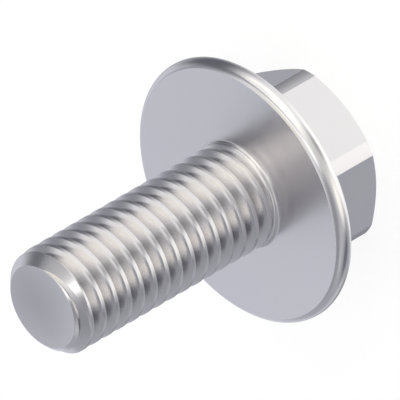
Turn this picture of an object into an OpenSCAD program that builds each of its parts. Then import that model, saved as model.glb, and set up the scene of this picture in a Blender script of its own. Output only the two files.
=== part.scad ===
/* [Hexagon] */
// Width across two opposite flats, for a 13 mm spanner
hex_across_flats = 12.6; // [11:0.05:14]
// Width across two opposite corners, which are turned round
hex_across_corners = 13.95; // [13:0.05:15]
// Height from the bearing face to the top of the head
head_height = 7.64; // [6:0.02:9]
// Diameter of the flat ring on top of the head
head_top_diameter = 12; // [9:0.1:12.5]
// Slope of the chamfer round the top of the head, in degrees
head_chamfer_angle = 30; // [15:1:40]

/* [Flange] */
// Outer diameter of the flange
flange_diameter = 20.35; // [18:0.05:26]
// Radius of the rounded rim
rim_radius = 0.75; // [0.6:0.05:1.2]
// How far the edge of the bearing face lies inside the rim
rim_inset = 0.51; // [0.2:0.01:0.59]
// Slope of the flange's back, in degrees
flange_back_angle = 25; // [10:1:30]

/* [Shank] */
// Length from the bearing face to the tip
shank_length = 19.28; // [10:0.02:30]
// Radius of the fillet between collar and bearing face
fillet_radius = 0.15; // [0.05:0.01:0.3]
// Length of the plain collar between the bearing face and the thread
collar_length = 0.36; // [0.32:0.01:1.5]
// How far the collar stands out past the crest of the thread
collar_step = 0.05; // [0.02:0.01:0.2]
// Slope of the shoulder where the last groove runs out, in degrees
shoulder_angle = 60; // [30:5:75]
// Diameter of the flat end face
tip_diameter = 6.36; // [5.4:0.02:7]
// Slope of the tip's chamfer, in degrees
tip_chamfer_angle = 45; // [30:1:60]

/* [Thread] */
// Outer diameter of the right-hand thread
thread_diameter = 8; // [7.6:0.1:8.6]
// Distance from one turn to the next
thread_pitch = 1.25; // [1:0.05:1.5]
// Width of the flat on the crest of each turn
crest_width = 0.31; // [0.15:0.01:0.4]
// Width of the flat at the bottom of the groove
root_width = 0.03; // [0.02:0.01:0.2]
// Angle between the two walls of the groove, in degrees
groove_angle = 60; // [55:1:70]
// Turn of the thread's start about the axis, in degrees
thread_start = 76; // [0:1:359]
// Straight segments in one turn of the thread
turn_segments = 36; // [24:4:48]

/* [Hidden] */
$fn = 72;
steel = [0.72, 0.73, 0.76];

thread_radius = thread_diameter / 2;
wall_run = (thread_pitch - crest_width - root_width) / 2;
root_radius = thread_radius - wall_run / tan(groove_angle / 2);
tip_radius = tip_diameter / 2;
tip_chamfer_length = (thread_radius - tip_radius) * tan(tip_chamfer_angle);
collar_radius = thread_radius + collar_step;
// The cone of the shoulder ends inside the root
shoulder_radius = root_radius * 0.9;
shoulder_length = (collar_radius - shoulder_radius) / tan(shoulder_angle);

// The rim is an arc that ends at the bearing face and runs smoothly into the sloping back
rim_centre_radius = flange_diameter / 2 - rim_radius;
face_radius = flange_diameter / 2 - rim_inset;
rim_depth = sqrt(rim_inset * (2 * rim_radius - rim_inset));
back_edge_radius = rim_centre_radius + rim_radius * sin(flange_back_angle);
back_edge_z = -rim_depth - rim_radius * cos(flange_back_angle);

// The sloping back stops just inside the hexagon's flats
back_overlap = 0.5;
back_inner_radius = hex_across_flats / 2 - back_overlap;
back_inner_z = back_edge_z - (back_edge_radius - back_inner_radius) * tan(flange_back_angle);

corner_radius = hex_across_corners / 2;
head_top_radius = min(head_top_diameter / 2, corner_radius);
head_chamfer_z = -head_height + (corner_radius - head_top_radius) * tan(head_chamfer_angle);

// One turn of the thread, up from the middle of the groove: four points in a plane through the axis
turn_z = [-root_width / 2, root_width / 2, root_width / 2 + wall_run, root_width / 2 + wall_run + crest_width];
turn_radius = [root_radius, root_radius, thread_radius, thread_radius];
turn_points = len(turn_z);
thread_turns = ceil(shank_length / thread_pitch) + 2;
rows = turn_points * thread_turns;
thread_low_z = collar_length - 1.5 * thread_pitch;

// Height of one point, which rises by a pitch in each turn about the axis
function row_z(segment, row) = thread_low_z + turn_z[row % turn_points]
    + thread_pitch * (floor(row / turn_points) + segment / turn_segments);

function thread_point(segment, row) = let (
    angle = thread_start + 360 * segment / turn_segments,
    radius = turn_radius[row % turn_points]
) [radius * cos(angle), radius * sin(angle), row_z(segment, row)];

// A point's place in the list of points
function at(segment, row) = segment * rows + row;

function quad(a, b, c, d) = [[a, c, b], [a, d, c]];

function fan(centre, loop) = [
    for (n = [0:len(loop) - 1]) [centre, loop[n], loop[(n + 1) % len(loop)]]
];

// A long threaded rod. Its last segment joins the first one a whole turn further up
module threaded_rod() {
    last = turn_segments - 1;
    points = [
        for (segment = [0:last]) for (row = [0:rows - 1]) thread_point(segment, row),
        [0, 0, row_z(0, 0)],
        [0, 0, row_z(turn_segments, rows - 1)]
    ];
    side = [
        for (segment = [0:last - 1]) for (row = [0:rows - 2])
            each quad(at(segment, row), at(segment + 1, row), at(segment + 1, row + 1), at(segment, row + 1))
    ];
    seam = [
        for (row = [0:rows - turn_points - 2])
            each quad(at(last, row), at(0, row + turn_points), at(0, row + turn_points + 1), at(last, row + 1))
    ];
    low_loop = [
        for (segment = [0:last]) at(segment, 0),
        for (row = [turn_points:-1:1]) at(0, row)
    ];
    high_loop = [
        for (row = [rows - turn_points - 1:rows - 1]) at(last, row),
        for (segment = [last - 1:-1:0]) at(segment, rows - 1)
    ];
    low_centre = turn_segments * rows;
    high_centre = low_centre + 1;
    polyhedron(
        points,
        concat(side, seam, fan(low_centre, low_loop), fan(high_centre, high_loop)),
        convexity = 2 * thread_turns
    );
}

// The outline that the rod is turned to: it starts inside the collar and has a chamfered tip
module shank_outline() {
    clear_radius = thread_radius + tip_chamfer_length / tan(tip_chamfer_angle);
    clear_z = shank_length - 2 * tip_chamfer_length;
    rotate_extrude()
        polygon([
            [0, collar_length / 2],
            [clear_radius, collar_length / 2],
            [clear_radius, clear_z],
            [tip_radius, shank_length],
            [0, shank_length]
        ]);
}

module thread() {
    intersection() {
        threaded_rod();
        shank_outline();
    }
}

// Plain collar with the fillet to the bearing face and the shoulder that ends the groove
module collar() {
    fillet_outer = collar_radius + fillet_radius;
    rotate_extrude()
        polygon([
            [0, -rim_depth],
            [collar_radius, -rim_depth],
            [collar_radius, collar_length],
            [shoulder_radius, collar_length + shoulder_length],
            [0, collar_length + shoulder_length]
        ]);
    rotate_extrude()
        difference() {
            translate([collar_radius - fillet_radius, -fillet_radius])
                square([2 * fillet_radius, 2 * fillet_radius]);
            translate([fillet_outer, fillet_radius])
                circle(r = fillet_radius);
        }
}

module flange() {
    rotate_extrude()
        difference() {
            union() {
                translate([rim_centre_radius, -rim_depth])
                    circle(r = rim_radius);
                polygon([
                    [0, 0],
                    [face_radius, 0],
                    [rim_centre_radius, -rim_depth],
                    [back_edge_radius, back_edge_z],
                    [back_inner_radius, back_inner_z],
                    [0, back_inner_z]
                ]);
            }
            square([flange_diameter, 2 * rim_radius]);
        }
}

// Hexagon with its corners turned round and its top edge chamfered
module hexagon() {
    intersection() {
        translate([0, 0, -head_height])
            cylinder(d = hex_across_flats / cos(30), h = head_height - rim_depth, $fn = 6);
        rotate_extrude()
            polygon([
                [0, -head_height],
                [head_top_radius, -head_height],
                [corner_radius, head_chamfer_z],
                [corner_radius, -rim_depth],
                [0, -rim_depth]
            ]);
    }
}

module flange_bolt() {
    color(steel)
        union() {
            hexagon();
            flange();
            collar();
            thread();
        }
}

flange_bolt();
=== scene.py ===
# %% [markdown]
# # A flange bolt
# This lesson dresses one steel bolt, a single piece with a hexagon, a wide flange and a thread.
# Everything below is in metres and in that same frame: the axis of the bolt is Z, the bearing face lies
# at height 0, the tip points up and the head lies below.

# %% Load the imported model
import math

import bmesh
import bpy
from mathutils import Matrix, Vector


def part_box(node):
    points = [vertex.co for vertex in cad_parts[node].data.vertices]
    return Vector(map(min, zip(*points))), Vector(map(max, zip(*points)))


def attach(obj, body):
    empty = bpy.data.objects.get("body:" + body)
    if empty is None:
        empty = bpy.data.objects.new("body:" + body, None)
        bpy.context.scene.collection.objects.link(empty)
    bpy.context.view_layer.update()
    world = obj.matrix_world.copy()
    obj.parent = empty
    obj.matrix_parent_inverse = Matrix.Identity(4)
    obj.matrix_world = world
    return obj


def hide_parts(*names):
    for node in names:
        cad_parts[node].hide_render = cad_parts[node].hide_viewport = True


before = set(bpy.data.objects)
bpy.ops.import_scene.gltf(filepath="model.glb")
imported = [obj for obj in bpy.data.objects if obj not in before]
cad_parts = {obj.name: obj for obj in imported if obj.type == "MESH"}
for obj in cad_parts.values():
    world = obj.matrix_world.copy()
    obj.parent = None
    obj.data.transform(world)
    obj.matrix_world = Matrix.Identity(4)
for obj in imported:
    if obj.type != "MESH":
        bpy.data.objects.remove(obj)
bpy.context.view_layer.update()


# %% [markdown]
# ## The sizes
# A designer thinks of this bolt as an M8 screw with a pitch of 1.25 mm, so the sizes are written in
# millimetres and turned into metres once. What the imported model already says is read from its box:
# the length, the height of the head and the width of the flange aren't written twice.

# %% Sizes of the head and the flange
MM = 0.001
low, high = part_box("flange_bolt")
head_height = -low.z
shank_length = high.z
flange_radius = min(high.x, high.y)

flat_distance = 12.6 * MM / 2
corner_radius = 13.95 * MM / 2
head_top_radius = 6 * MM
head_chamfer = math.radians(30)
rim_radius = 0.75 * MM
rim_inset = 0.51 * MM
flange_back = math.radians(25)
print(f"head: {head_height / MM:.2f} mm high, flange {2 * flange_radius / MM:.2f} mm across")

# %% Sizes of the shank and the thread
collar_radius = 4.05 * MM
collar_length = 0.36 * MM
fillet_radius = 0.15 * MM
shoulder_slope = math.radians(60)
tip_radius = 3.18 * MM
tip_chamfer = math.radians(45)

thread_radius = 4 * MM
thread_pitch = 1.25 * MM
crest_width = 0.31 * MM
root_width = 0.03 * MM
wall_lean = math.radians(30)
thread_start = math.radians(76)

wall_run = (thread_pitch - crest_width - root_width) / 2
root_radius = thread_radius - wall_run / math.tan(wall_lean)
# The cone of the shoulder ends inside the root of the thread
CORE_SHARE = 0.9
core_radius = CORE_SHARE * root_radius
print(f"root of the thread: {root_radius / MM:.2f} mm from the axis")

# %% [markdown]
# ## Turned shapes
# A lathe makes a shape from its outline: a list of points, each with a radius and a height. Blender's
# Spin tool could do it, but it gives every column the same outline. Here the outline is a function of
# the angle instead, so the same few lines can also turn a head with six sides. The two ends of the
# outline lie on the axis and become one point each, which closes the mesh.

# %% A lathe
def add_object(name, data):
    made = bpy.data.objects.new(name, data)
    bpy.context.scene.collection.objects.link(made)
    return made


def add_mesh(name, points, faces):
    mesh = bpy.data.meshes.new(name)
    mesh.from_pydata(points, [], faces)
    return add_object(name, mesh)


def turned(name, angles, outline):
    """A closed mesh with one column for each angle; outline gives the column's radii and heights."""
    columns = [outline(angle) for angle in angles]
    ends = [(0, 0, columns[0][0][1]), (0, 0, columns[0][-1][1])]
    rows = len(columns[0]) - len(ends)
    points = list(ends)
    for angle, column in zip(angles, columns):
        points += [(r * math.cos(angle), r * math.sin(angle), z) for r, z in column[1:-1]]
    faces = []
    for here in range(len(angles)):
        a = len(ends) + here * rows
        b = len(ends) + (here + 1) % len(angles) * rows
        faces.append((0, b, a))
        faces += [(a + row, b + row, b + row + 1, a + row + 1) for row in range(rows - 1)]
        faces.append((1, a + rows - 1, b + rows - 1))
    print(f"{name}: {len(angles)} columns of {rows} rows")
    return add_mesh(name, points, faces)


# %% Arcs and rounded corners
def arc(centre, radius, start, end, steps):
    turns = [start + (end - start) * step / steps for step in range(steps + 1)]
    return [
        (centre[0] + radius * math.cos(turn), centre[1] + radius * math.sin(turn))
        for turn in turns
    ]


def rounded(before, corner, after, radius, steps):
    """The arc that replaces a corner between two straight lines."""
    into = (Vector(corner) - Vector(before)).normalized()
    out = (Vector(after) - Vector(corner)).normalized()
    turn = into.angle(out)
    side = 1 if into.x * out.y > into.y * out.x else -1
    start = Vector(corner) - into * radius * math.tan(turn / 2)
    centre = start + Vector((-into.y, into.x)) * side * radius
    first = math.atan2(start.y - centre.y, start.x - centre.x)
    return arc(centre, radius, first, first + side * turn, steps)


example = rounded((0, 0), (1, 0), (1, 1), 1, 2)
print("a square corner in two steps:", [(round(x, 2), round(y, 2)) for x, y in example])

# %% [markdown]
# ## The head and the flange
# The head is forged as one lump: a hexagon whose six corners are turned round, with a flange whose
# rim is a soft roll. Cutting a hexagon prism with a turned shape would do, but the rule is short
# enough to write down: a flat side is as far from the axis as its distance divided by a cosine, and
# never further than the turned corner. The columns of the mesh are placed so that one falls exactly on
# each end of each side, which keeps those edges crisp.

# %% The rule for the hexagon
SIDES = 6
SIDE_COLUMNS = 24
CORNER_COLUMNS = 6
side_turn = 360 / SIDES
side_reach = math.acos(flat_distance / corner_radius)
corner_reach = math.radians(side_turn / 2) - side_reach


def head_angles():
    found = []
    for side in range(SIDES):
        middle = math.radians(side_turn / 2 + side_turn * side)
        for step in range(SIDE_COLUMNS):
            found.append(middle + side_reach * (2 * step / SIDE_COLUMNS - 1))
        for step in range(CORNER_COLUMNS):
            found.append(middle + side_reach + 2 * corner_reach * step / CORNER_COLUMNS)
    return found


def side_radius(angle):
    off_middle = (angle % math.radians(side_turn)) - math.radians(side_turn / 2)
    return min(corner_radius, flat_distance / math.cos(off_middle))


print(f"each side spans {2 * math.degrees(side_reach):.1f} degrees")

# %% [markdown]
# ## The edges of the head
# The edges round the top of a forged head, its flange and its collar aren't sharp lines. A small arc on
# each one catches the light and shows in a picture as a thin bright or dark line, which a sharp corner
# can't do. Blender's Bevel modifier could round them, but the outline is at hand as points, so its
# corners are simply replaced by arcs. The edge of the collar is one of them, and its bright line runs
# round the foot of the shank.

# %% Radii and steps of the edges
HEAD_EDGE = 0.1 * MM
HEAD_FILLET = 0.3 * MM
FACE_EDGE = 0.12 * MM
COLLAR_EDGE = 0.14 * MM

RING_STEPS = 4
CHAMFER_STEPS = 6
BACK_STEPS = 8
RIM_STEPS = 44
FACE_STEPS = 5
FILLET_STEPS = 10
COLLAR_STEPS = 5

RIGHT_ANGLE = math.radians(90)
rim_centre = (flange_radius - rim_radius, -math.sqrt(rim_inset * (2 * rim_radius - rim_inset)))
face_reach = math.sqrt((rim_radius - FACE_EDGE) ** 2 - (rim_centre[1] + FACE_EDGE) ** 2)
face_centre = (rim_centre[0] + face_reach, -FACE_EDGE)
face_turn = math.atan2(face_centre[1] - rim_centre[1], face_centre[0] - rim_centre[0])
back_turn = flange_back - RIGHT_ANGLE
print(f"bearing face: flat to {face_centre[0] / MM:.2f} mm from the axis")


# %% The outline of the head
def head_outline(angle):
    """From the middle of the head's top to a point on the axis, inside the thread."""
    wall = side_radius(angle)
    rim = arc(rim_centre, rim_radius, back_turn, face_turn, RIM_STEPS)
    middle = (0, -head_height)
    ring = (head_top_radius, -head_height)
    chamfer = (wall, -head_height + (wall - head_top_radius) * math.tan(head_chamfer))
    back = (wall, rim[0][1] - (rim[0][0] - wall) * math.tan(flange_back))
    fillet_centre = (collar_radius + fillet_radius, fillet_radius)
    collar_foot = (collar_radius, 0)
    collar_top = (collar_radius, collar_length)
    core = (core_radius, collar_length + (collar_radius - core_radius) / math.tan(shoulder_slope))
    return [
        middle,
        *rounded(middle, ring, chamfer, HEAD_EDGE, RING_STEPS),
        *rounded(ring, chamfer, back, HEAD_EDGE, CHAMFER_STEPS),
        *rounded(chamfer, back, rim[0], HEAD_FILLET, BACK_STEPS),
        *rim,
        *arc(face_centre, FACE_EDGE, face_turn, RIGHT_ANGLE, FACE_STEPS)[1:],
        *arc(fillet_centre, fillet_radius, 3 * RIGHT_ANGLE, 2 * RIGHT_ANGLE, FILLET_STEPS),
        *rounded(collar_foot, collar_top, core, COLLAR_EDGE, COLLAR_STEPS),
        core,
        (0, core[1]),
    ]


head = turned("head", head_angles(), head_outline)

# %% [markdown]
# ## The turned blank of the shank
# Before a thread is cut or rolled, the shank is a plain round blank with a chamfered tip. Here the blank
# is used the other way round: it is a little wider than the thread and only its tip matters, because
# the threaded rod below is cut to it. It starts inside the collar, where the join can't be seen.

# %% The blank
ROUND_COLUMNS = 192
TIP_EDGE = 0.05 * MM
TIP_STEPS = 4
round_angles = [math.tau * column / ROUND_COLUMNS for column in range(ROUND_COLUMNS)]


def blank_outline(angle):
    """The same outline at every angle, because the blank is round."""
    clear = 2 * thread_radius - tip_radius
    end = (tip_radius, shank_length)
    side_top = (clear, shank_length - (clear - tip_radius) * math.tan(tip_chamfer))
    return [
        (0, collar_length / 2),
        (clear, collar_length / 2),
        side_top,
        *rounded(side_top, end, (0, shank_length), TIP_EDGE, TIP_STEPS),
        (0, shank_length),
    ]


blank = turned("blank", round_angles, blank_outline)

# %% [markdown]
# ## One turn of the thread
# Seen in a plane through the axis, one turn of a metric thread is a V groove of 60 degrees with a small
# flat at the bottom, two straight walls and a flat crest. Rolling leaves the two edges of the crest a
# little round, so each is an arc. This section is a line of points, and the node tree below repeats it.

# %% The section of the groove
CREST_EDGE = 0.012 * MM
CREST_STEPS = 5


def groove_section():
    """Points of (radius, height), up from the flat bottom of a groove to the end of the crest above."""
    low_root = (root_radius, -root_width / 2)
    high_root = (root_radius, root_width / 2)
    low_crest = (thread_radius, root_width / 2 + wall_run)
    high_crest = (thread_radius, low_crest[1] + crest_width)
    next_root = (root_radius, high_crest[1] + wall_run)
    return [
        low_root,
        high_root,
        *rounded(high_root, low_crest, high_crest, CREST_EDGE, CREST_STEPS),
        *rounded(low_crest, high_crest, next_root, CREST_EDGE, CREST_STEPS),
    ]


section_points = groove_section()
section = add_mesh("section", [(r, 0, z) for r, z in section_points], [])
print(f"section of one turn: {len(section_points)} points")

# %% [markdown]
# ## Geometry Nodes: the thread
# A thread is a shape that follows a rule: a flat grid is bent round the axis, and every point also
# climbs by one pitch in each turn. So the right-hand edge of the grid meets the left-hand edge one turn
# further up, and the two are merged. A swept curve would lean the section over; this rule doesn't.
# The first and the last turn are gathered into one point on the axis, which closes the rod.

# %% Short calls that add nodes
def add_node(tree, kind, inputs, **settings):
    """A new node. An input is the output of another node, which is linked, or a plain value."""
    made = tree.nodes.new(kind)
    for name, value in settings.items():
        setattr(made, name, value)
    for key, value in inputs.items():
        if isinstance(value, bpy.types.NodeSocket):
            tree.links.new(value, made.inputs[key])
        else:
            made.inputs[key].default_value = value
    return made


def maths(tree, operation, first, second=0.0):
    return add_node(tree, "ShaderNodeMath", {0: first, 1: second}, operation=operation).outputs[0]


# %% [markdown]
# ## The inputs of the tree
# What the rule needs comes in by inputs with names, so that it can be changed in the modifier. Plain
# numbers inside the tree would do the same work, but nobody would find them again. The rod is some turns
# longer than the shank at both ends, because the solid operations cut it to length. Each arc turns by
# less than SMOOTH_BELOW at each of its points, and each sharp edge by more.

# %% Names and values of the inputs
SPARE_TURNS = 5
TURNS_BELOW = 3.5
SMOOTH_BELOW = math.radians(12.6)
turns_in_all = math.ceil(shank_length / thread_pitch) + SPARE_TURNS
# Empty for now: its finish follows when the shape is done
steel = bpy.data.materials.new("steel")

thread_tree = bpy.data.node_groups.new("threaded_bolt", "GeometryNodeTree")
TREE_INPUTS = {
    "Head": ("NodeSocketObject", head),
    "Blank": ("NodeSocketObject", blank),
    "Section": ("NodeSocketObject", section),
    "Points in Section": ("NodeSocketInt", len(section_points)),
    "Segments": ("NodeSocketInt", ROUND_COLUMNS),
    "Turns": ("NodeSocketInt", turns_in_all),
    "Pitch": ("NodeSocketFloat", thread_pitch),
    "Start Height": ("NodeSocketFloat", collar_length - TURNS_BELOW * thread_pitch),
    "Start Angle": ("NodeSocketFloat", thread_start),
    "Smooth Below": ("NodeSocketFloat", SMOOTH_BELOW),
    "Steel": ("NodeSocketMaterial", steel),
}
for name, kind_and_value in TREE_INPUTS.items():
    thread_tree.interface.new_socket(name, in_out="INPUT", socket_type=kind_and_value[0])
thread_tree.interface.new_socket("Geometry", in_out="OUTPUT", socket_type="NodeSocketGeometry")
given = thread_tree.nodes.new("NodeGroupInput").outputs
print(f"tree inputs: {', '.join(TREE_INPUTS)}")

# %% A flat grid, and each point's place in it
rows = maths(thread_tree, "MULTIPLY", given["Points in Section"], given["Turns"])
grid = add_node(
    thread_tree,
    "GeometryNodeMeshGrid",
    {
        "Size X": given["Segments"],
        "Size Y": maths(thread_tree, "SUBTRACT", rows, 1.0),
        "Vertices X": maths(thread_tree, "ADD", given["Segments"], 1.0),
        "Vertices Y": rows,
    },
)


def split(count, size):
    """How many groups of a size a count fills, and the rest; the half guards against rounding."""
    shares = maths(thread_tree, "DIVIDE", maths(thread_tree, "ADD", count, 0.5), size)
    groups = maths(thread_tree, "FLOOR", shares)
    return groups, maths(thread_tree, "SUBTRACT", count, maths(thread_tree, "MULTIPLY", groups, size))


index = thread_tree.nodes.new("GeometryNodeInputIndex").outputs[0]
column, row = split(index, rows)
turn, step = split(row, given["Points in Section"])
round_share = maths(thread_tree, "DIVIDE", column, given["Segments"])
print(f"grid: {ROUND_COLUMNS + 1} columns of {turns_in_all * len(section_points)} points")


# %% The point of the section that each point follows
def shape_of(name):
    """The mesh of an object that the tree is given."""
    return add_node(thread_tree, "GeometryNodeObjectInfo", {"Object": given[name]}).outputs["Geometry"]


position = thread_tree.nodes.new("GeometryNodeInputPosition").outputs[0]
section_point = add_node(
    thread_tree,
    "GeometryNodeSampleIndex",
    {"Geometry": shape_of("Section"), "Value": position, "Index": step},
    data_type="FLOAT_VECTOR",
)

# %% Turn and climb
turns_up = maths(thread_tree, "ADD", turn, round_share)
climb = maths(thread_tree, "MULTIPLY", turns_up, given["Pitch"])
height = maths(thread_tree, "ADD", climb, given["Start Height"])
swing = maths(thread_tree, "MULTIPLY", round_share, math.tau)
angle = maths(thread_tree, "ADD", swing, given["Start Angle"])
bent = add_node(
    thread_tree,
    "ShaderNodeVectorRotate",
    {"Vector": section_point.outputs["Value"], "Angle": angle},
    rotation_type="Z_AXIS",
)
lift = add_node(thread_tree, "ShaderNodeCombineXYZ", {"Z": height})
lifted = add_node(
    thread_tree,
    "ShaderNodeVectorMath",
    {0: bent.outputs[0], 1: lift.outputs[0]},
    operation="ADD",
)
print(f"one turn climbs {thread_pitch / MM:.2f} mm")

# %% Close the two ends
END_SLACK = 0.001
MERGE_DISTANCE = 0.0005 * MM
turns_before = maths(thread_tree, "DIVIDE", row, given["Points in Section"])
progress = maths(thread_tree, "ADD", turns_before, round_share)
low_end = maths(thread_tree, "LESS_THAN", progress, 1 - END_SLACK)
last_turn = maths(thread_tree, "SUBTRACT", given["Turns"], 1 + END_SLACK)
high_end = maths(thread_tree, "GREATER_THAN", progress, last_turn)

end_turns = maths(thread_tree, "MULTIPLY", high_end, given["Turns"])
end_climb = maths(thread_tree, "MULTIPLY", end_turns, given["Pitch"])
end_height = maths(thread_tree, "ADD", given["Start Height"], end_climb)
end_point = add_node(thread_tree, "ShaderNodeCombineXYZ", {"Z": end_height})
placed = add_node(
    thread_tree,
    "GeometryNodeSwitch",
    {
        "Switch": maths(thread_tree, "ADD", low_end, high_end),
        "False": lifted.outputs[0],
        "True": end_point.outputs[0],
    },
    input_type="VECTOR",
)
bent_grid = add_node(
    thread_tree,
    "GeometryNodeSetPosition",
    {"Geometry": grid.outputs["Mesh"], "Position": placed.outputs[0]},
)
rod = add_node(
    thread_tree,
    "GeometryNodeMergeByDistance",
    {"Geometry": bent_grid.outputs[0], "Distance": MERGE_DISTANCE},
)
print(f"rod: {len(thread_tree.nodes)} nodes so far")

# %% [markdown]
# ## Cut and join
# The real bolt is one lump of steel, so the mesh has to be one closed skin. Meshes that only pass through
# each other would look the same, but they hide walls inside. Two solid operations avoid that: the rod is
# cut to the chamfered blank, and the head is joined on. Where the collar's cone meets the rod it ends the
# last groove. Faces then get smooth shading wherever two of them meet at a small angle, so edges stay
# sharp.

# %% Solid operations
def solid(operation, first, second):
    """What two meshes share, or both as one. The Manifold solver is quick and needs closed meshes."""
    made = add_node(thread_tree, "GeometryNodeMeshBoolean", {}, operation=operation, solver="MANIFOLD")
    joined = made.inputs["Mesh 2"]
    thread_tree.links.new(second, joined)
    thread_tree.links.new(first, joined)
    return made.outputs["Mesh"]


thread = solid("INTERSECT", rod.outputs[0], shape_of("Blank"))
whole = solid("UNION", thread, shape_of("Head"))

# %% Smooth shading, steel and the end of the tree
edge_angle = thread_tree.nodes.new("GeometryNodeInputMeshEdgeAngle").outputs["Unsigned Angle"]
smooth_edge = maths(thread_tree, "LESS_THAN", edge_angle, given["Smooth Below"])
smooth_faces = add_node(
    thread_tree,
    "GeometryNodeSetShadeSmooth",
    {0: whole, "Shade Smooth": True},
    domain="FACE",
)
smooth_edges = add_node(
    thread_tree,
    "GeometryNodeSetShadeSmooth",
    {0: smooth_faces.outputs[0], "Shade Smooth": smooth_edge},
    domain="EDGE",
)
real = add_node(thread_tree, "GeometryNodeRealizeInstances", {"Geometry": smooth_edges.outputs[0]})
finished = add_node(
    thread_tree,
    "GeometryNodeSetMaterial",
    {"Geometry": real.outputs[0], "Material": given["Steel"]},
)
add_node(thread_tree, "NodeGroupOutput", {"Geometry": finished.outputs[0]})
print(f"thread tree: {len(thread_tree.nodes)} nodes")

# %% [markdown]
# ## Satin steel
# The real bolt looks like bright plated steel: a neutral, slightly cool metal with a soft shine. A
# picture of metal wrapped round the mesh would stretch on it, so the finish is made from nodes that read
# the place on the bolt. A very fine grain breaks up the shine, slow clouds change it a little from place to
# place and the lathe leaves faint rings on the flat faces. The colour is also made darker down in the
# grooves, which is painted shade for the light that the grooves lose. The end face lies nearer to the axis
# than the crests as well, so this painted shade fades out towards the tip.

# %% Where on the bolt
# Where the painted shade in the grooves fades out towards the tip
GROOVE_SHADE_END = 0.3 * MM
GROOVE_SHADE_FULL = 1 * MM
FLAT_FROM = 0.98
FLAT_FULL = 0.999
WITHOUT_HEIGHT = (1, 1, 0)
steel.use_nodes = True
metal = steel.node_tree
place = metal.nodes.new("ShaderNodeTexCoord").outputs
from_axis = add_node(
    metal, "ShaderNodeVectorMath", {0: place["Object"], 1: WITHOUT_HEIGHT}, operation="MULTIPLY"
)
reach = add_node(metal, "ShaderNodeVectorMath", {0: from_axis.outputs[0]}, operation="LENGTH")
radius = reach.outputs["Value"]
height = add_node(metal, "ShaderNodeSeparateXYZ", {0: place["Object"]}).outputs["Z"]
facing = add_node(metal, "ShaderNodeSeparateXYZ", {0: place["Normal"]}).outputs["Z"]


def share(tree, value, none_at, full_at):
    """How far a value has come from none_at to full_at, from 0 to 1, with soft ends."""
    made = add_node(
        tree,
        "ShaderNodeMapRange",
        {"Value": value, "From Min": none_at, "From Max": full_at},
        interpolation_type="SMOOTHSTEP",
    )
    return made.outputs["Result"]


# Painted shade: the deeper a point lies in a groove, the darker its colour, except near the tip
depth = share(metal, radius, thread_radius, root_radius)
below_tip = share(metal, height, shank_length - GROOVE_SHADE_END, shank_length - GROOVE_SHADE_FULL)
painted_groove_shade = maths(metal, "MULTIPLY", depth, below_tip)
on_flat = share(metal, maths(metal, "ABSOLUTE", facing), FLAT_FROM, FLAT_FULL)
print(f"grooves: tinted fully from {GROOVE_SHADE_FULL / MM:.1f} mm below the tip down")

# %% Grain, clouds and rings
GRAIN_SIZE = 0.14 * MM
CLOUD_SIZE = 5 * MM
WANDER_SIZE = CLOUD_SIZE / 4
RING_SPACING = 0.28 * MM
GRAIN_DETAIL = 2.0
CLOUD_DETAIL = 3.0
WANDER_DETAIL = 1.0
CLOUD_FROM = 0.35
CLOUD_FULL = 0.65


def noise(size, detail):
    inputs = {"Vector": place["Object"], "Scale": 1 / size, "Detail": detail}
    return add_node(metal, "ShaderNodeTexNoise", inputs).outputs["Fac"]


grain = noise(GRAIN_SIZE, GRAIN_DETAIL)
cloud = share(metal, noise(CLOUD_SIZE, CLOUD_DETAIL), CLOUD_FROM, CLOUD_FULL)
ring_wander = maths(metal, "MULTIPLY", noise(WANDER_SIZE, WANDER_DETAIL), math.tau)
ring_turns = maths(metal, "MULTIPLY", radius, math.tau / RING_SPACING)
rings = maths(metal, "SINE", maths(metal, "ADD", ring_turns, ring_wander))
print(f"in mm: grain {GRAIN_SIZE / MM:.2f}, clouds {CLOUD_SIZE / MM:.0f}, rings {RING_SPACING / MM:.2f}")

# %% The steel
STEEL_COLOUR = (0.73, 0.716, 0.735, 1)
CLOUD_COLOUR = (0.736, 0.722, 0.737, 1)
# The darker colour painted into the grooves as shade
GROOVE_SHADE_COLOUR = (0.645, 0.633, 0.646, 1)
STEEL_ROUGHNESS = 0.2
CLOUD_ROUGHNESS = 0.02
FLAT_ROUGHNESS = 0.08
RING_DEPTH = 0.0002 * MM
GRAIN_DEPTH = 0.0006 * MM


def mixed(amount, first, second):
    """A mix of two colours, which are inputs 6 and 7 of the Mix node; the mixed one is output 2."""
    return add_node(metal, "ShaderNodeMix", {0: amount, 6: first, 7: second}, data_type="RGBA").outputs[2]


# Painted shade: the steel colour is mixed towards the darker groove colour down in the grooves
colour = mixed(painted_groove_shade, mixed(cloud, STEEL_COLOUR, CLOUD_COLOUR), GROOVE_SHADE_COLOUR)
cloud_part = maths(metal, "MULTIPLY", cloud, CLOUD_ROUGHNESS)
flat_part = maths(metal, "MULTIPLY", on_flat, FLAT_ROUGHNESS)
roughness = maths(metal, "ADD", maths(metal, "ADD", cloud_part, flat_part), STEEL_ROUGHNESS)
ring_bump = add_node(
    metal,
    "ShaderNodeBump",
    {"Height": maths(metal, "MULTIPLY", rings, on_flat), "Distance": RING_DEPTH},
)
grain_bump = add_node(
    metal,
    "ShaderNodeBump",
    {"Height": grain, "Distance": GRAIN_DEPTH, "Normal": ring_bump.outputs[0]},
)
steel_bsdf = metal.nodes["Principled BSDF"]
steel_bsdf.inputs["Metallic"].default_value = 1
metal.links.new(colour, steel_bsdf.inputs["Base Color"])
metal.links.new(roughness, steel_bsdf.inputs["Roughness"])
metal.links.new(grain_bump.outputs[0], steel_bsdf.inputs["Normal"])
print(f"steel: {len(metal.nodes)} nodes, roughness {STEEL_ROUGHNESS} and up")

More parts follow.
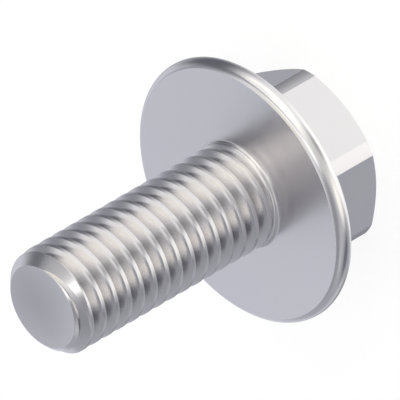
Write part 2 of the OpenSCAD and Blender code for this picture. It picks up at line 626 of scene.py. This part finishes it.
# %% [markdown]
# ## Make the bolt
# The tree runs as a modifier on an empty mesh. Each input is set by its identifier, because a modifier
# doesn't know it by name. A modifier could stay live, but the frame takes plain meshes, so the result is
# copied out and the modifier removed. In a closed mesh every edge belongs to exactly two faces, and the
# volume is positive if the faces point outwards. Both are measured.

# %% Run the tree
bolt = add_object("bolt", bpy.data.meshes.new("bolt"))
modifier = bolt.modifiers.new("threaded_bolt", "NODES")
modifier.node_group = thread_tree
for item in thread_tree.interface.items_tree:
    if item.in_out == "INPUT":
        modifier[item.identifier] = TREE_INPUTS[item.name][1]

bpy.context.view_layer.update()
depsgraph = bpy.context.evaluated_depsgraph_get()
plain = bpy.data.meshes.new_from_object(bolt.evaluated_get(depsgraph))
bolt.modifiers.clear()
bolt.data = plain
for helper in (head, blank, section):
    bpy.data.objects.remove(helper)
print(f"bolt: {len(plain.vertices)} points")

# %% Measure the bolt and hand it to the frame
shape = bmesh.new()
shape.from_mesh(plain)
open_edges = sum(1 for edge in shape.edges if len(edge.link_faces) != 2)
triangles = sum(len(face.verts) - 2 for face in shape.faces)
volume = shape.calc_volume(signed=True) / MM**3
shape.free()
print(f"bolt: {triangles} triangles, {open_edges} open edges, {volume:.1f} cubic mm")

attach(bolt, "root")
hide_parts("flange_bolt")

# %% [markdown]
# ## Directions and the camera
# The camera and the cards are placed by where they are seen from the bolt, as a turn round it and a rise
# above the floor. The bolt was pictured from far away along the diagonal of a cube, so that parallel
# edges stay parallel, and the picture was then rolled until the shank points down to the left. An
# orthographic camera would do, but a very long lens, far off, gives that look and is still a real lens.
# The frame is set by how many pixels one millimetre takes.

# %% Directions in the studio
def towards(turn, rise):
    """A direction by its turn and rise in degrees. A turn of 0 is at -Y, and 90 is at +X."""
    turn = math.radians(turn)
    rise = math.radians(rise)
    return Vector((math.sin(turn) * math.cos(rise), -math.cos(turn) * math.cos(rise), math.sin(rise)))


VIEW_TURN = -14.65
VIEW_RISE = 35.264
PICTURE_ROLL = math.radians(30)
toward = towards(VIEW_TURN, VIEW_RISE)
sideways = toward.cross(Vector((0, 0, 1))).normalized()
headward = toward.cross(sideways)
right = math.cos(PICTURE_ROLL) * headward + math.sin(PICTURE_ROLL) * sideways
up = toward.cross(right)
print("up in the picture:", [round(x, 3) for x in up])

# %% The camera
PICTURE_PIXELS = 400
PIXELS_PER_MM = 14.24
PIXEL = MM / PIXELS_PER_MM
FRAME_WIDTH = PICTURE_PIXELS * PIXEL
# The middle of the picture, in pixels from the bolt's origin
HEADWARD_PIXELS = -35.8
SIDEWAYS_PIXELS = -13.9
LENS = 1500
SENSOR = 36
CLIP_END = 10
centre = HEADWARD_PIXELS * PIXEL * headward + SIDEWAYS_PIXELS * PIXEL * sideways
camera_place = centre + toward * FRAME_WIDTH * LENS / SENSOR

camera_data = bpy.data.cameras.new("camera")
camera_data.lens = LENS
camera_data.sensor_width = SENSOR
camera_data.clip_end = CLIP_END
camera = add_object("camera", camera_data)
turned_axes = Matrix((right, up, toward)).transposed().to_4x4()
camera.matrix_world = Matrix.Translation(camera_place) @ turned_axes
bpy.context.scene.camera = camera
camera_distance = (camera_place - centre).length
print(f"camera: {camera_distance:.2f} m away, {FRAME_WIDTH / MM:.1f} mm across the picture")

# %% [markdown]
# ## The studio
# Bare metal has little colour of its own: what the eye sees in it is the room. A photographer puts such a
# piece in a white tent and hangs cards round it, black ones for the dark lines that give a round form its
# depth, bright ones for the highlights. Here the tent is a plain white world of strength 1, and each card
# is a disc that glows in its own tone and fades out towards its edge, as a soft box does. Area lamps would
# do for the highlights, but a lamp can't be black.

# %% The tent
WHITE = (1, 1, 1, 1)
TENT_STRENGTH = 1
world = bpy.data.worlds.new("tent")
world.use_nodes = True
tent_light = world.node_tree.nodes["Background"]
tent_light.inputs["Color"].default_value = WHITE
tent_light.inputs["Strength"].default_value = TENT_STRENGTH
bpy.context.scene.world = world
bpy.context.scene.view_settings.view_transform = "Standard"
print(f"tent: strength {TENT_STRENGTH}")


# %% The finish of a card
def empty_material(name):
    made = bpy.data.materials.new(name)
    made.use_nodes = True
    made.node_tree.nodes.clear()
    return made


CARD_CORE = 0.25
CARD_EDGE = 1.0
card_finish = empty_material("card")
# Rays that leave the metal find the cards by themselves, so the cards needn't be aimed at as lamps
card_finish.cycles.emission_sampling = "NONE"
card_tree = card_finish.node_tree
card_place = card_tree.nodes.new("ShaderNodeTexCoord").outputs["Object"]
from_middle = add_node(card_tree, "ShaderNodeVectorMath", {0: card_place}, operation="LENGTH")
card_cover = share(card_tree, from_middle.outputs["Value"], CARD_EDGE, CARD_CORE)
card_tone = card_tree.nodes.new("ShaderNodeObjectInfo").outputs["Color"]
card_glow = add_node(card_tree, "ShaderNodeEmission", {"Color": card_tone})
card_gap = card_tree.nodes.new("ShaderNodeBsdfTransparent")
card_look = add_node(
    card_tree,
    "ShaderNodeMixShader",
    {"Fac": card_cover, 1: card_gap.outputs[0], 2: card_glow.outputs[0]},
)
add_node(card_tree, "ShaderNodeOutputMaterial", {"Surface": card_look.outputs[0]})
print(f"card: {len(card_tree.nodes)} nodes, fades beyond {CARD_CORE} of its half width")

# %% A disc, and a card made from it
DISC_SEGMENTS = 48
BLUE_TO_RED = 3
disc_shape = bmesh.new()
bmesh.ops.create_circle(disc_shape, cap_ends=True, segments=DISC_SEGMENTS, radius=1)
disc = bpy.data.meshes.new("disc")
disc_shape.to_mesh(disc)
disc_shape.free()
disc.materials.append(card_finish)
bolt_middle = Vector((0, 0, (shank_length - head_height) / 2))


def hang_card(name, at, half, tone, warmth, roll, distance, seen_from=bolt_middle):
    """A card at a turn and rise, with its half width and half height, all in degrees.

    A warm card gives up three times as much blue as it gains red. A positive roll lifts the side of the
    card that lies at the larger turn.
    """
    out = towards(*at)
    across = Vector((0, 0, 1)).cross(out).normalized()
    spin = Matrix.Rotation(math.radians(roll), 3, out)
    wide = spin @ across * math.tan(math.radians(half[0])) * distance
    high = spin @ out.cross(across) * math.tan(math.radians(half[1])) * distance
    made = add_object(name, disc)
    axes = Matrix((wide, high, out)).transposed().to_4x4()
    made.matrix_world = Matrix.Translation(seen_from + out * distance) @ axes
    made.color = (tone * (1 + warmth / BLUE_TO_RED), tone, tone * (1 - warmth), 1)
    made.visible_camera = False


print(f"disc: {len(disc.vertices)} points, seen from {bolt_middle.z / MM:.2f} mm above the bearing face")

# %% [markdown]
# ## Where the cards hang
# The cards were moved until their mirror images on the bolt lay where the picture has them. The two
# black ones draw the dark lines along the two sides of the shank. `overhead` and `right_window` are the
# two broad lights along it, with the narrow `low_dip` between them. `high_line` adds a faint light above
# them, and `high_warm` a faint warm tone. `under` lights the flat side of the head that looks at the
# camera, `low_left` and `low_right` darken the sides beside it, and `back` gives the bearing face and the
# end face their tone. On the chamfer of the tip `chamfer_grey` makes the dark band and `front_top` the
# light spot next to it. `face_dip` serves the views from behind, where the flat faces would mirror the
# brightest card and turn pure white. The other cards shade what lies between.

# %% The cards, the nearest first
CARDS = (
    # name, turn and rise, half width and half height, tone, warmth, roll
    ("left_black", (93, -6), (38, 60), 0.15, -0.15, 0),
    ("right_black", (-98, -14), (32, 23), 0.16, -0.15, -45),
    ("low_dip", (-12.5, -28), (18.5, 26.5), 0.45, 0, 0),
    ("face_dip", (45, 20), (16, 20), 1.05, 0, 0),
    ("left_high", (115, 36), (46, 22), 0.4, -0.1, 0),
    ("front_top", (-14, 56), (14, 14), 1.8, 0.04, 0),
    ("chamfer_grey", (55, 45.5), (44, 10), 0.38, -0.08, -29),
    ("high_line", (40, 61), (24, 8), 1.8, 0.02, -27),
    ("high_warm", (72, 74), (30, 20), 1.0, 0.12, 0),
    ("top_grey", (-95, 58), (56, 30), 0.34, -0.08, 0),
    ("right_window", (-55, -9), (25, 33), 1.35, 0.09, 0),
    ("overhead", (32, 13), (40, 50), 1.65, 0.1, 0),
    ("right_side", (-112, 2), (38, 36), 0.46, -0.08, 0),
    ("fore_low", (-25, 8), (30, 36), 0.76, 0.06, 0),
    ("low_back", (-165, -38), (24, 20), 0.3, -0.08, 0),
    ("low_right", (-110, -40), (51, 26), 0.47, -0.08, 0),
    ("low_left", (132, -36), (40, 26), 0.46, -0.08, 0),
    ("right_grey", (-148, 22), (36, 46), 0.46, -0.08, 0),
    ("under", (-30, -68), (46, 46), 1.4, 0.04, 0),
    ("back", (172, 5), (68, 66), 0.73, -0.09, 0),
    ("fore", (-75, 12), (55, 45), 0.6, -0.04, 0),
)
CARD_FIRST = 0.25
CARD_STEP = 0.05
for order, card in enumerate(CARDS):
    hang_card(*card, CARD_FIRST + CARD_STEP * order)
print(f"studio: {len(CARDS)} cards, {CARD_FIRST} m away and further")

# %% [markdown]
# ## A card for the end face
# The end face and the bearing face point the same way, so cards that are far off look the same in both.
# A small card close to the tip shows in the end face and not in the bearing face. It hangs where the
# camera's line of sight goes once the end face has mirrored it.

# %% The card by the tip
TIP_CARD = ("tip_grey", (VIEW_TURN + 180, VIEW_RISE), (12.5, 12.5), 0.26, -0.09, 0)
TIP_CARD_DISTANCE = 0.045
TIP_CARD_LIFT = 1 * MM
end_face = Vector((0, 0, shank_length))
hang_card(*TIP_CARD, TIP_CARD_DISTANCE, end_face + TIP_CARD_LIFT * up)
print(f"card by the tip: {TIP_CARD_DISTANCE / MM:.0f} mm away")

# %% [markdown]
# ## The floor
# The bolt stands on its head on white paper. For the camera the paper is nearly white by itself, and only
# the rest of its brightness comes from the light that falls on it, so it keeps a faint shadow. Rays that
# come from the metal pass through it to the white tent, so that the steel shows that white all round.
# A very thin gap between the paper and the head keeps the two faces from lying in one plane, which would
# render as noise where both are seen from below.

# %% The paper
FLOOR_GLOW = 0.85
FLOOR_TONE = 0.22
paper = empty_material("paper")
paper_tree = paper.node_tree
ray = paper_tree.nodes.new("ShaderNodeLightPath").outputs
seen_glow = maths(paper_tree, "MULTIPLY", ray["Is Camera Ray"], FLOOR_GLOW)
paper_glow = add_node(paper_tree, "ShaderNodeEmission", {"Strength": seen_glow})
paper_colour = (FLOOR_TONE, FLOOR_TONE, FLOOR_TONE, 1)
paper_matt = add_node(paper_tree, "ShaderNodeBsdfDiffuse", {"Color": paper_colour})
paper_seen = add_node(
    paper_tree, "ShaderNodeAddShader", {0: paper_glow.outputs[0], 1: paper_matt.outputs[0]}
)
paper_gap = paper_tree.nodes.new("ShaderNodeBsdfTransparent")
from_metal = maths(paper_tree, "ADD", ray["Is Glossy Ray"], ray["Is Transmission Ray"])
paper_look = add_node(
    paper_tree,
    "ShaderNodeMixShader",
    {"Fac": from_metal, 1: paper_seen.outputs[0], 2: paper_gap.outputs[0]},
)
add_node(paper_tree, "ShaderNodeOutputMaterial", {"Surface": paper_look.outputs[0]})
print(f"paper: {len(paper_tree.nodes)} nodes")

# %% The floor
FLOOR_REACH = 20
FLOOR_GAP = 0.02 * MM
FLOOR_CORNERS = ((-1, -1), (1, -1), (1, 1), (-1, 1))
floor_height = -head_height - FLOOR_GAP
floor_points = [(x * FLOOR_REACH, y * FLOOR_REACH, floor_height) for x, y in FLOOR_CORNERS]
floor = add_mesh("floor", floor_points, [(0, 1, 2, 3)])
floor.data.materials.append(paper)
print(f"floor: {FLOOR_GAP / MM:.2f} mm below the head")
